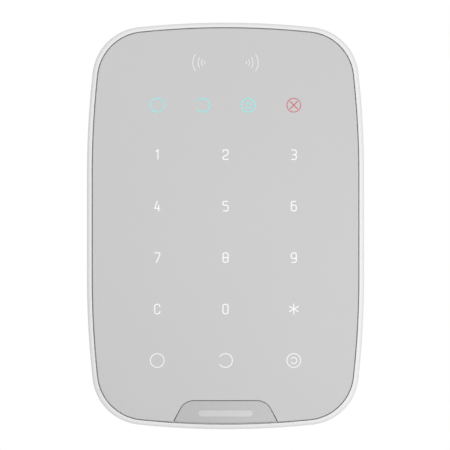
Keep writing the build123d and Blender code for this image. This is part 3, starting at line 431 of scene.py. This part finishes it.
# finishes: boards, parts, cable, label, cell sleeves; sizes in mm
board = {"mask": "#1C5A3A", "track": "#2B7A4E", "trackPitch": 2.2, "trackWidth": 0.24, "trackEdge": 0.02,
         "weave": 0.8, "bandFactor": 6.28, "weaveWander": 0.5, "weaveShow": 0.15, "roughness": 0.28,
         "ior": 1.5, "coat": 0.4, "coatRoughness": 0.12, "relief": 0.03, "bumpStrength": 0.4}


def solderMaskBoard():
    # glass-epoxy board under green lacquer: raised paler copper runs, glass weave faint below
    material, tree, place = newMaterial("solderMaskBoard")
    fields = addNode(tree, "ShaderNodeTexVoronoi", {"feature": "DISTANCE_TO_EDGE", "distance": "EUCLIDEAN"},
                     {"Vector": place, "Scale": perMm(board["trackPitch"])})
    run = addNode(tree, "ShaderNodeMapRange", None,
                  {"Value": fields.outputs["Distance"], "From Min": board["trackWidth"] / board["trackPitch"],
                   "From Max": board["trackEdge"]})
    weave = addNode(tree, "ShaderNodeTexWave", {"wave_type": "BANDS", "bands_direction": "DIAGONAL"},
                    {"Vector": place, "Scale": perMm(board["weave"]) / board["bandFactor"],
                     "Distortion": board["weaveWander"]})
    mixed = addNode(tree, "ShaderNodeMix", {"data_type": "RGBA"},
                    {mixShare: run.outputs["Result"], colourA: linear(board["mask"]),
                     colourB: linear(board["track"])})
    relief = addNode(tree, "ShaderNodeMath", {"operation": "MULTIPLY_ADD"},
                     {0: weave.outputs["Fac"], 1: board["weaveShow"], 2: run.outputs["Result"]})
    bump = addNode(tree, "ShaderNodeBump", None,
                   {"Height": relief.outputs[0], "Strength": board["bumpStrength"],
                    "Distance": board["relief"] * mm})
    lacquer = addNode(tree, "ShaderNodeBsdfPrincipled", None,
                      {"Base Color": mixed.outputs[colourOut], "Roughness": board["roughness"],
                       "IOR": board["ior"], "Coat Weight": board["coat"],
                       "Coat Roughness": board["coatRoughness"], "Normal": bump.outputs["Normal"]})
    finishMaterial(tree, lacquer)
    return material


smallParts = {"ceramic": "#8C6A45", "lot": 3.3, "lotShow": 0.35, "pore": 0.15, "roughness": 0.5, "ior": 1.65,
              "relief": 0.01, "bumpStrength": 0.3}


def firedCeramic():
    # barium titanate chips: tan fired bodies, each a little different in tone, finely pored
    material, tree, place = newMaterial("firedCeramicChips")
    lots = addNode(tree, "ShaderNodeTexVoronoi", {"feature": "F1"},
                   {"Vector": place, "Scale": perMm(smallParts["lot"])})
    tone = addNode(tree, "ShaderNodeHueSaturation", None,
                   {"Color": linear(smallParts["ceramic"]), "Value": lots.outputs["Distance"]})
    mixed = addNode(tree, "ShaderNodeMix", {"data_type": "RGBA"},
                    {mixShare: smallParts["lotShow"], colourA: linear(smallParts["ceramic"]),
                     colourB: tone.outputs["Color"]})
    pores = addNode(tree, "ShaderNodeTexNoise", None,
                    {"Vector": place, "Scale": perMm(smallParts["pore"]), "Detail": softDetail})
    bump = addNode(tree, "ShaderNodeBump", None,
                   {"Height": pores.outputs["Fac"], "Strength": smallParts["bumpStrength"],
                    "Distance": smallParts["relief"] * mm})
    body = addNode(tree, "ShaderNodeBsdfPrincipled", None,
                   {"Base Color": mixed.outputs[colourOut], "Roughness": smallParts["roughness"],
                    "IOR": smallParts["ior"], "Normal": bump.outputs["Normal"]})
    finishMaterial(tree, body)
    return material


led = {"phosphor": "#F1DC6A", "resin": "#F4F2E6", "spot": 1.2, "roughness": 0.18, "ior": 1.41, "milk": 0.4,
       "milkDepth": 1.0}


def ledResin():
    # white LED: milky silicone with yellow phosphor clouding in it
    material, tree, place = newMaterial("ledPhosphorResin")
    cloud = addNode(tree, "ShaderNodeTexNoise", None,
                    {"Vector": place, "Scale": perMm(led["spot"]), "Detail": softDetail})
    mixed = addNode(tree, "ShaderNodeMix", {"data_type": "RGBA"},
                    {mixShare: cloud.outputs["Fac"], colourA: linear(led["resin"]),
                     colourB: linear(led["phosphor"])})
    resin = addNode(tree, "ShaderNodeBsdfPrincipled", None,
                    {"Base Color": mixed.outputs[colourOut], "Roughness": led["roughness"],
                     "IOR": led["ior"], "Subsurface Weight": led["milk"],
                     "Subsurface Scale": led["milkDepth"] * mm})
    finishMaterial(tree, resin)
    return material


flatCable = {"film": "#E9EBEF", "core": "#B9B6AE", "pitch": 1.0, "coreFrom": 0.2, "coreFull": 0.32,
             "roughness": 0.3, "ior": 1.57, "relief": 0.04, "bumpStrength": 0.4}


def flatCableFilm():
    # polyester flat cable: tinned cores show as soft grey lines through the white film
    material, tree, place = newMaterial("flatCableFilm")
    axes = addNode(tree, "ShaderNodeSeparateXYZ", None, {"Vector": place})
    beat = addNode(tree, "ShaderNodeMath", {"operation": "MULTIPLY"},
                   {0: axes.outputs["X"], 1: perMm(flatCable["pitch"])})
    step = addNode(tree, "ShaderNodeMath", {"operation": "PINGPONG"}, {0: beat.outputs[0], 1: 0.5})
    line = addNode(tree, "ShaderNodeMapRange", None,
                   {"Value": step.outputs[0], "From Min": flatCable["coreFrom"],
                    "From Max": flatCable["coreFull"]})
    mixed = addNode(tree, "ShaderNodeMix", {"data_type": "RGBA"},
                    {mixShare: line.outputs["Result"], colourA: linear(flatCable["film"]),
                     colourB: linear(flatCable["core"])})
    bump = addNode(tree, "ShaderNodeBump", None,
                   {"Height": line.outputs["Result"], "Strength": flatCable["bumpStrength"],
                    "Distance": flatCable["relief"] * mm})
    film = addNode(tree, "ShaderNodeBsdfPrincipled", None,
                   {"Base Color": mixed.outputs[colourOut], "Roughness": flatCable["roughness"],
                    "IOR": flatCable["ior"], "Normal": bump.outputs["Normal"]})
    finishMaterial(tree, film)
    return material


label = {"face": "#D9DADB", "fleck": "#C9CACC", "fibre": 0.6, "metallic": 0.35, "roughness": 0.36,
         "relief": 0.02, "bumpStrength": 0.2}


def satinLabel():
    # blank polyester type label: metallised satin film with a slight orange peel
    material, tree, place = newMaterial("satinPolyesterLabel")
    fibre = addNode(tree, "ShaderNodeTexNoise", None,
                    {"Vector": place, "Scale": perMm(label["fibre"]), "Detail": middleDetail})
    mixed = addNode(tree, "ShaderNodeMix", {"data_type": "RGBA"},
                    {mixShare: fibre.outputs["Fac"], colourA: linear(label["face"]),
                     colourB: linear(label["fleck"])})
    bump = addNode(tree, "ShaderNodeBump", None,
                   {"Height": fibre.outputs["Fac"], "Strength": label["bumpStrength"],
                    "Distance": label["relief"] * mm})
    film = addNode(tree, "ShaderNodeBsdfPrincipled", None,
                   {"Base Color": mixed.outputs[colourOut], "Metallic": label["metallic"],
                    "Roughness": label["roughness"], "Normal": bump.outputs["Normal"]})
    finishMaterial(tree, film)
    return material


sleeve = {"body": "#2F6E8F", "band": "#D7DBDD", "bandShare": 0.22, "bandEdge": 0.01, "crinkle": 1.6,
          "roughness": 0.22, "ior": 1.53, "relief": 0.06, "bumpStrength": 0.3}


def shrinkSleeve():
    # printed PVC shrink sleeve: blue with one pale band at the plus end, glossy, faintly crinkled
    material, tree, place = newMaterial("shrinkSleevePvc")
    along = addNode(tree, "ShaderNodeAttribute", {"attribute_name": "along"})
    band = addNode(tree, "ShaderNodeMapRange", None,
                   {"Value": along.outputs["Fac"], "From Min": 1.0 - sleeve["bandShare"],
                    "From Max": 1.0 + sleeve["bandEdge"] - sleeve["bandShare"]})
    mixed = addNode(tree, "ShaderNodeMix", {"data_type": "RGBA"},
                    {mixShare: band.outputs["Result"], colourA: linear(sleeve["body"]),
                     colourB: linear(sleeve["band"])})
    crinkle = addNode(tree, "ShaderNodeTexNoise", None,
                      {"Vector": place, "Scale": perMm(sleeve["crinkle"]), "Detail": middleDetail})
    bump = addNode(tree, "ShaderNodeBump", None,
                   {"Height": crinkle.outputs["Fac"], "Strength": sleeve["bumpStrength"],
                    "Distance": sleeve["relief"] * mm})
    film = addNode(tree, "ShaderNodeBsdfPrincipled", None,
                   {"Base Color": mixed.outputs[colourOut], "Roughness": sleeve["roughness"],
                    "IOR": sleeve["ior"], "Normal": bump.outputs["Normal"]})
    finishMaterial(tree, film)
    return material


finishes.update({"solderMaskBoard": solderMaskBoard(), "firedCeramicChips": firedCeramic(),
                 "ledPhosphorResin": ledResin(), "flatCableFilm": flatCableFilm(),
                 "satinPolyesterLabel": satinLabel(), "shrinkSleevePvc": shrinkSleeve()})
print("finishes made:", len(finishes))

nodesByFinish = {
    "whiteHousingAbs": ["front_housing"],
    "rearCoverAbs": ["rear_cover"],
    "batteryDoorAbs": ["battery_cover"],
    "bracketAbs": ["mounting_plate"],
    "greyPanelPolycarbonate": ["touch_panel"],
    "badgeFlakePaint": ["badge_plate"],
    "whiteLegendInk": ["key_legends"],
    "waveLegendInk": ["reader_legends"],
    "tealLegendInk": ["status_legends"],
    "redLegendInk": ["fault_legend"],
    "bondFoamTape": ["panel_adhesive"],
    "diffuserPetFilm": ["diffuser_sheet"],
    "lightMaskBlackAbs": ["light_mask"],
    "solderMaskBoard": ["touch_board", "main_board"],
    "bareCopper": ["touch_pads", "reader_coil"],
    "ferritePolymer": ["ferrite_sheet"],
    "chipEpoxy": ["touch_controller", "controller_chip"],
    "firedCeramicChips": ["touch_components", "board_components"],
    "ledPhosphorResin": ["key_leds", "status_leds"],
    "cellHolderPolypropylene": ["battery_holder"],
    "nickelSpringSteel": ["battery_springs", "battery_plates", "tamper_spring", "radio_antennas"],
    "tinnedShieldCan": ["radio_module"],
    "redLeadPvc": ["positive_lead"],
    "blackLeadPvc": ["negative_lead"],
    "socketNylon": ["battery_socket", "ribbon_connectors"],
    "flatCableFilm": ["ribbon_cable"],
    "buzzerPps": ["buzzer"],
    "switchNylon": ["tamper_switch", "power_switch"],
    "buttonAcetal": ["tamper_button", "power_button"],
    "satinPolyesterLabel": ["rating_label"],
    "zincPlatedScrew": ["cover_screws", "main_board_screws", "battery_cover_screws", "lock_screw"],
    "shrinkSleevePvc": ["battery_cell_1", "battery_cell_2", "battery_cell_3", "battery_cell_4"],
}
for finishName, nodeNames in nodesByFinish.items():
    for nodeName in nodeNames:
        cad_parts[nodeName].data.materials.clear()
        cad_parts[nodeName].data.materials.append(finishes[finishName])
print("finishes on", sum(len(names) for names in nodesByFinish.values()), "nodes")


# pieces made here
def lathe(name, profile, steps):
    # profile is radius and height pairs in metres from the lower end up; the ends close on the axis
    shape = bmesh.new()
    along = shape.verts.layers.float.new("along")
    low, high = profile[0][1], profile[-1][1]
    rings = []
    for radius, height in profile:
        share = (height - low) / (high - low)
        ringVerts = []
        for i in range(steps if radius > 0 else 1):
            turn = 2 * math.pi * i / steps
            vert = shape.verts.new((radius * math.cos(turn), radius * math.sin(turn), height))
            vert[along] = share
            ringVerts.append(vert)
        rings.append(ringVerts)
    for below, above in zip(rings, rings[1:]):
        for i in range(steps):
            j = (i + 1) % steps
            corners = (below[i % len(below)], below[j % len(below)],
                       above[j % len(above)], above[i % len(above)])
            shape.faces.new(list(dict.fromkeys(corners)))    # a pole gives its corner twice
    bmesh.ops.recalc_face_normals(shape, faces=shape.faces)
    mesh = bpy.data.meshes.new(name)
    shape.to_mesh(mesh)
    shape.free()
    mesh.shade_smooth()
    piece = bpy.data.objects.new(name, mesh)
    bpy.context.scene.collection.objects.link(piece)
    return piece


def runTree(piece, tree, inputs):  # modifier inputs by socket identifier, then a plain mesh and no modifier
    spread = piece.modifiers.new(tree.name, "NODES")
    spread.node_group = tree
    names = {item.name: item.identifier for item in tree.interface.items_tree if item.item_type == "SOCKET"}
    for key, value in inputs.items():
        spread[names[key]] = value
    bpy.context.view_layer.update()
    solved = bpy.data.meshes.new_from_object(piece.evaluated_get(bpy.context.evaluated_depsgraph_get()))
    piece.modifiers.clear()
    piece.data = solved


def newTree(name, inputs):  # a geometry tree with its named inputs
    tree = bpy.data.node_groups.new(name, "GeometryNodeTree")
    tree.interface.new_socket("Geometry", in_out="OUTPUT", socket_type="NodeSocketGeometry")
    for title, kind in inputs.items():
        tree.interface.new_socket(title, in_out="INPUT", socket_type="NodeSocket" + kind)
    return tree, addNode(tree, "NodeGroupInput")


cells = {                  # mm; a share is of the radius, or of the shoulder's rounding where it says so
    "radius": 8.35,
    "shoulder": 0.7,       # rounding of both ends
    "shoulderIn": 0.2,     # where its middle point stands, as shares of the rounding
    "shoulderBack": 0.25,
    "footRing": 0.6,       # share at which the minus end's flat ring ends
    "footDish": 0.55,      # share at which the dish inside it begins
    "dishDepth": 0.1,
    "crimpFromTop": 2.6,
    "crimpDepth": 0.35,
    "crimpHalf": 1.1,
    "cap": 0.62,           # share at which the plus end's insulator ring begins
    "capDrop": 0.2,
    "nubRadius": 3.1,
    "nubHeight": 1.0,
    "nubFoot": 0.5,
    "nubRise": 0.1,
    "nubRound": 0.25,
    "sleeveThick": 0.09,
    "sleeveLip": 1.1,      # how far the sleeve folds over each end
    "sleeveUnder": 0.02,   # how far it stands off the ends
    "sleeveOver": 0.03,
    "sleeveBack": 0.15,    # its middle point at the plus end, as a share of the rounding
    "sleeveCrimpHalf": 1.2,
    "steps": 56,
}


def cellTree():  # one cell on a grid of bays, turned over in the right-hand column
    tree, given = newTree("cellsInBays", {
        "Geometry": "Geometry", "Column Spacing": "Float", "Row Spacing": "Float", "Centre": "Vector",
        "Finish": "Material"})
    bays = addNode(tree, "GeometryNodeMeshGrid", None,
                   {"Size X": given.outputs["Column Spacing"], "Size Y": given.outputs["Row Spacing"],
                    "Vertices X": 2, "Vertices Y": 2})
    upright = addNode(tree, "GeometryNodeTransform", None,
                      {"Geometry": bays.outputs["Mesh"], "Rotation": (math.radians(90), 0, 0),
                       "Translation": given.outputs["Centre"]})
    axes = addNode(tree, "ShaderNodeSeparateXYZ", None,
                   {"Vector": addNode(tree, "GeometryNodeInputPosition").outputs["Position"]})
    rightSide = addNode(tree, "ShaderNodeMath", {"operation": "GREATER_THAN"}, {0: axes.outputs["X"], 1: 0.0})
    half = addNode(tree, "ShaderNodeMath", {"operation": "MULTIPLY"}, {0: rightSide.outputs[0], 1: math.pi})
    turn = addNode(tree, "FunctionNodeAxisAngleToRotation", None,
                   {"Axis": (0, 1, 0), "Angle": half.outputs[0]})
    placed = addNode(tree, "GeometryNodeInstanceOnPoints", None,
                     {"Points": upright.outputs["Geometry"], "Instance": given.outputs["Geometry"],
                      "Rotation": turn.outputs["Rotation"]})
    real = addNode(tree, "GeometryNodeRealizeInstances", None, {"Geometry": placed.outputs["Instances"]})
    dressed = addNode(tree, "GeometryNodeSetMaterial", None,
                      {"Geometry": real.outputs["Geometry"], "Material": given.outputs["Finish"]})
    addNode(tree, "NodeGroupOutput", None, {"Geometry": dressed.outputs["Geometry"]})
    return tree


def makeCells():
    boxes = [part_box("battery_cell_%d" % i) for i in (1, 2, 3, 4)]
    centres = [[(a + b) / 2 for a, b in zip(*corners)] for corners in boxes]
    left = [c for c in centres if c[0] < 0]
    right = [c for c in centres if c[0] > 0]
    middle = [sum(c[k] for c in centres) / len(centres) for k in range(3)]
    rowSpacing = max(c[2] for c in left) - min(c[2] for c in left)
    columnSpacing = right[0][0] - left[0][0]
    # a cell stands off its bay's middle, towards the plus plate
    shift = sum(c[2] for c in left) / len(left) - middle[2]
    length = boxes[0][1][2] - boxes[0][0][2]
    size = {key: value * mm for key, value in cells.items()}
    base, tip = shift - length / 2, shift + length / 2
    top = tip - size["nubHeight"]
    crimp = top - size["crimpFromTop"]
    radius, shoulder, nub = size["radius"], size["shoulder"], size["nubRadius"]
    waist = radius - size["crimpDepth"]
    rounded = radius - cells["shoulderIn"] * shoulder
    can = lathe("cellCans", [
        (0, base + size["dishDepth"]), (radius * cells["footDish"], base + size["dishDepth"]),
        (radius * cells["footRing"], base), (radius - shoulder, base),
        (rounded, base + cells["shoulderBack"] * shoulder), (radius, base + shoulder),
        (radius, crimp - size["crimpHalf"]), (waist, crimp), (radius, crimp + size["crimpHalf"]),
        (radius, top - shoulder), (rounded, top - cells["shoulderBack"] * shoulder), (radius - shoulder, top),
        (radius * cells["cap"], top - size["capDrop"]), (nub + size["nubFoot"], top - size["capDrop"]),
        (nub, top + size["nubRise"]), (nub, tip - size["nubRound"]), (nub - size["nubRound"], tip), (0, tip),
    ], cells["steps"])
    outside = radius + size["sleeveThick"]
    fold = radius - size["sleeveLip"]
    over = lathe("cellSleeves", [
        (fold, base - size["sleeveUnder"]), (rounded, base + cells["shoulderIn"] * shoulder),
        (outside, base + shoulder), (outside, crimp - size["sleeveCrimpHalf"]),
        (waist + size["sleeveThick"], crimp), (outside, crimp + size["sleeveCrimpHalf"]),
        (outside, top - shoulder), (rounded + size["sleeveThick"], top - cells["sleeveBack"] * shoulder),
        (fold, top + size["sleeveOver"]),
    ], cells["steps"])
    tree = cellTree()
    for piece, finish, slotName in ((can, "nickelCellCan", "spring_steel"),
                                    (over, "shrinkSleevePvc", "cell_jacket")):
        runTree(piece, tree, {"Column Spacing": columnSpacing, "Row Spacing": rowSpacing, "Centre": middle,
                              "Finish": finishes[finish]})
        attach(piece, "keypad")
    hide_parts("battery_cell_1", "battery_cell_2", "battery_cell_3", "battery_cell_4")
    print("cells: four cans and sleeves in their bays")


grip = {                   # mm
    "ridges": 7,
    "pitch": 2.2,
    "halfLength": 8.0,
    "radius": 0.45,
    "proud": 0.28,
    "fromLowEdge": 12.0,   # first ridge above the battery cover's lower edge
    "stations": 25,        # along a ridge, and round it
    "around": 16,
    "taperFrom": -0.02,    # a ridge runs out to its ends, by the share of its length
    "taperFull": 0.1,
}


def gripTree():  # rounded finger ridges one above the other
    tree, given = newTree("fingerRidges", {
        "Geometry": "Geometry", "Ridges": "Int", "Pitch": "Float", "Half Length": "Float", "Radius": "Float",
        "First": "Vector", "Finish": "Material"})
    upStep = addNode(tree, "ShaderNodeCombineXYZ", None, {"Z": given.outputs["Pitch"]})
    rows = addNode(tree, "GeometryNodeMeshLine", None,
                   {"Count": given.outputs["Ridges"], "Start Location": given.outputs["First"],
                    "Offset": upStep.outputs["Vector"]})
    backward = addNode(tree, "ShaderNodeMath", {"operation": "MULTIPLY"},
                       {0: given.outputs["Half Length"], 1: -1.0})
    startPoint = addNode(tree, "ShaderNodeCombineXYZ", None, {"X": backward.outputs[0]})
    endPoint = addNode(tree, "ShaderNodeCombineXYZ", None, {"X": given.outputs["Half Length"]})
    line = addNode(tree, "GeometryNodeCurvePrimitiveLine", None,
                   {"Start": startPoint.outputs["Vector"], "End": endPoint.outputs["Vector"]})
    fine = addNode(tree, "GeometryNodeResampleCurve", None,
                   {"Curve": line.outputs["Curve"], "Count": grip["stations"]})
    share = addNode(tree, "GeometryNodeSplineParameter").outputs["Factor"]
    bow = addNode(tree, "ShaderNodeMath", {"operation": "PINGPONG"}, {0: share, 1: 0.5})
    taper = addNode(tree, "ShaderNodeMapRange", {"interpolation_type": "SMOOTHSTEP"},
                    {"Value": bow.outputs[0], "From Min": grip["taperFrom"], "From Max": grip["taperFull"]})
    profile = addNode(tree, "GeometryNodeCurvePrimitiveCircle", None,
                      {"Resolution": grip["around"], "Radius": given.outputs["Radius"]})
    bar = addNode(tree, "GeometryNodeCurveToMesh", None,
                  {"Curve": fine.outputs["Curve"], "Profile Curve": profile.outputs["Curve"],
                   "Scale": taper.outputs["Result"], "Fill Caps": True})
    placed = addNode(tree, "GeometryNodeInstanceOnPoints", None,
                     {"Points": rows.outputs["Mesh"], "Instance": bar.outputs["Mesh"]})
    real = addNode(tree, "GeometryNodeRealizeInstances", None, {"Geometry": placed.outputs["Instances"]})
    smooth = addNode(tree, "GeometryNodeSetShadeSmooth", None, {"Geometry": real.outputs["Geometry"]})
    dressed = addNode(tree, "GeometryNodeSetMaterial", None,
                      {"Geometry": smooth.outputs["Geometry"], "Material": given.outputs["Finish"]})
    addNode(tree, "NodeGroupOutput", None, {"Geometry": dressed.outputs["Geometry"]})
    return tree


def makeGrip():
    low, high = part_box("battery_cover")
    piece = bpy.data.objects.new("batteryDoorGrip", bpy.data.meshes.new("batteryDoorGrip"))
    bpy.context.scene.collection.objects.link(piece)
    first = (0, high[1] - (grip["radius"] - grip["proud"]) * mm, low[2] + grip["fromLowEdge"] * mm)
    runTree(piece, gripTree(), {
        "Ridges": grip["ridges"], "Pitch": grip["pitch"] * mm, "Half Length": grip["halfLength"] * mm,
        "Radius": grip["radius"] * mm, "First": first, "Finish": finishes["batteryDoorAbs"]})
    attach(piece, "battery_hatch")
    print("grip:", grip["ridges"], "ridges on the battery cover")


tamperCoil = {"turns": 3.4, "wire": 0.4, "steps": 40, "around": 10, "press": 0.8, "endSlack": 0.02}   # mm


def coilTree():  # round wire along a spiral that stands on the board and runs towards the wall
    tree, given = newTree("tamperCoilWire", {
        "Geometry": "Geometry", "Turns": "Float", "Steps": "Int", "Radius": "Float", "Rise": "Float",
        "Wire Radius": "Float", "Foot": "Vector", "Finish": "Material"})
    spiral = addNode(tree, "GeometryNodeCurveSpiral", None,
                     {"Resolution": given.outputs["Steps"], "Rotations": given.outputs["Turns"],
                      "Start Radius": given.outputs["Radius"], "End Radius": given.outputs["Radius"],
                      "Height": given.outputs["Rise"]})
    laid = addNode(tree, "GeometryNodeTransform", None,
                   {"Geometry": spiral.outputs["Curve"], "Rotation": (math.radians(-90), 0, 0),
                    "Translation": given.outputs["Foot"]})
    profile = addNode(tree, "GeometryNodeCurvePrimitiveCircle", None,
                      {"Resolution": tamperCoil["around"], "Radius": given.outputs["Wire Radius"]})
    wire = addNode(tree, "GeometryNodeCurveToMesh", None,
                   {"Curve": laid.outputs["Geometry"], "Profile Curve": profile.outputs["Curve"],
                    "Fill Caps": True})
    smooth = addNode(tree, "GeometryNodeSetShadeSmooth", None, {"Geometry": wire.outputs["Mesh"]})
    real = addNode(tree, "GeometryNodeRealizeInstances", None, {"Geometry": smooth.outputs["Geometry"]})
    dressed = addNode(tree, "GeometryNodeSetMaterial", None,
                      {"Geometry": real.outputs["Geometry"], "Material": given.outputs["Finish"]})
    addNode(tree, "NodeGroupOutput", None, {"Geometry": dressed.outputs["Geometry"]})
    return tree


def makeTamperCoil():
    low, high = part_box("tamper_spring")
    wireRadius = tamperCoil["wire"] * mm / 2
    slack = tamperCoil["endSlack"] * mm
    depth = high[1] - low[1]
    piece = bpy.data.objects.new("tamperCoil", bpy.data.meshes.new("tamperCoil"))
    bpy.context.scene.collection.objects.link(piece)
    runTree(piece, coilTree(), {
        "Turns": tamperCoil["turns"], "Steps": tamperCoil["steps"],
        "Radius": (high[0] - low[0]) / 2 - wireRadius, "Rise": depth - 2 * wireRadius - 2 * slack,
        "Wire Radius": wireRadius,
        "Foot": ((low[0] + high[0]) / 2, low[1] + wireRadius + slack, (low[2] + high[2]) / 2),
        "Finish": finishes["nickelSpringSteel"]})
    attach(piece, "keypad")
    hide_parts("tamper_spring")
    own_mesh(piece)


makeCells()
makeGrip()
makeTamperCoil()
